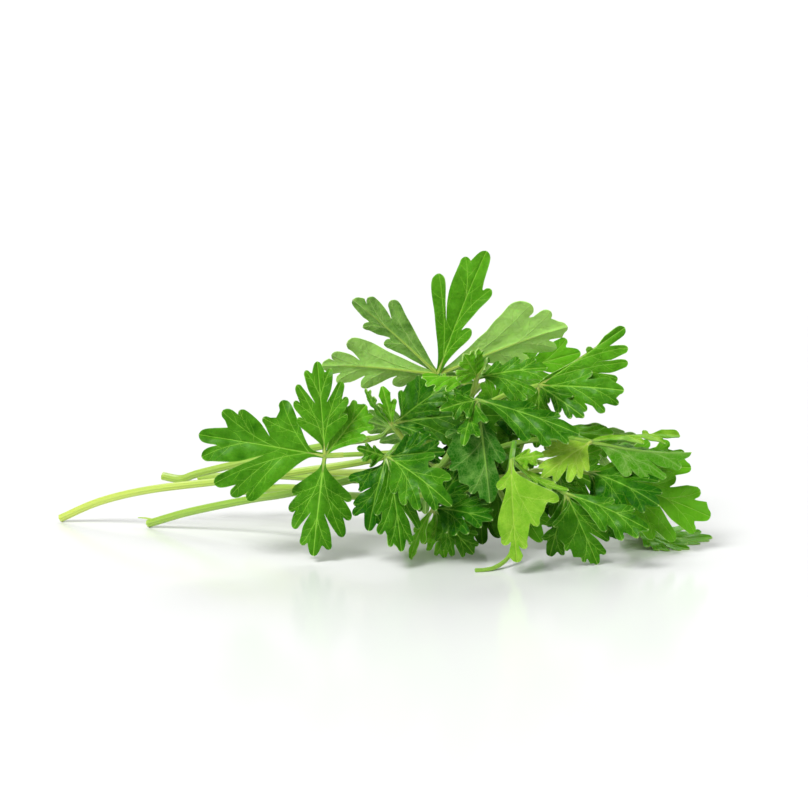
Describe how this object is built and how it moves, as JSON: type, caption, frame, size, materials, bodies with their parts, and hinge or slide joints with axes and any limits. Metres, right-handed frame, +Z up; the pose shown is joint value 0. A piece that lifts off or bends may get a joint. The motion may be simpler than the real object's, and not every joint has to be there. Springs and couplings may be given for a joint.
{
  "type": "parsley bunch",
  "caption": "A loose bunch of flat-leaf parsley lying on its side: pale forked stalks with cut ends, and fronds of deeply lobed, toothed green leaflets.",
  "frame": {"origin": "middle of the footprint of the bunch, on the table", "axes": "+X runs from the cut ends to the leaves, +Y to the back, +Z up"},
  "size_m": [0.2368, 0.0998, 0.1031],
  "materials": {
    "leaf": "satin",
    "young_leaf": "satin",
    "stem": "satin"
  },
  "bodies": {
    "root": {"stalk_long": "stem", "stalk_front": "stem", "stalk_bent": "stem", "stalk_inner": "stem", "stalk_low": "stem", "stalk_back": "stem", "frond_front_left": "leaf", "frond_front_middle": "leaf", "frond_front_upright": "leaf", "frond_middle_shaded": "leaf", "frond_inner_low": "leaf", "frond_top": "leaf", "frond_centre_front": "leaf", "frond_centre_upper": "leaf", "frond_right_upper": "leaf", "frond_right_middle": "young_leaf", "frond_right_lower": "leaf", "frond_right_foot": "leaf", "frond_bright_front": "young_leaf", "frond_low_left": "leaf", "frond_right_ground": "leaf", "frond_heart": "leaf", "frond_middle_right": "leaf", "frond_back_upper": "leaf", "frond_back_right": "leaf", "frond_back_left": "leaf"}
  },
  "joints": []
}
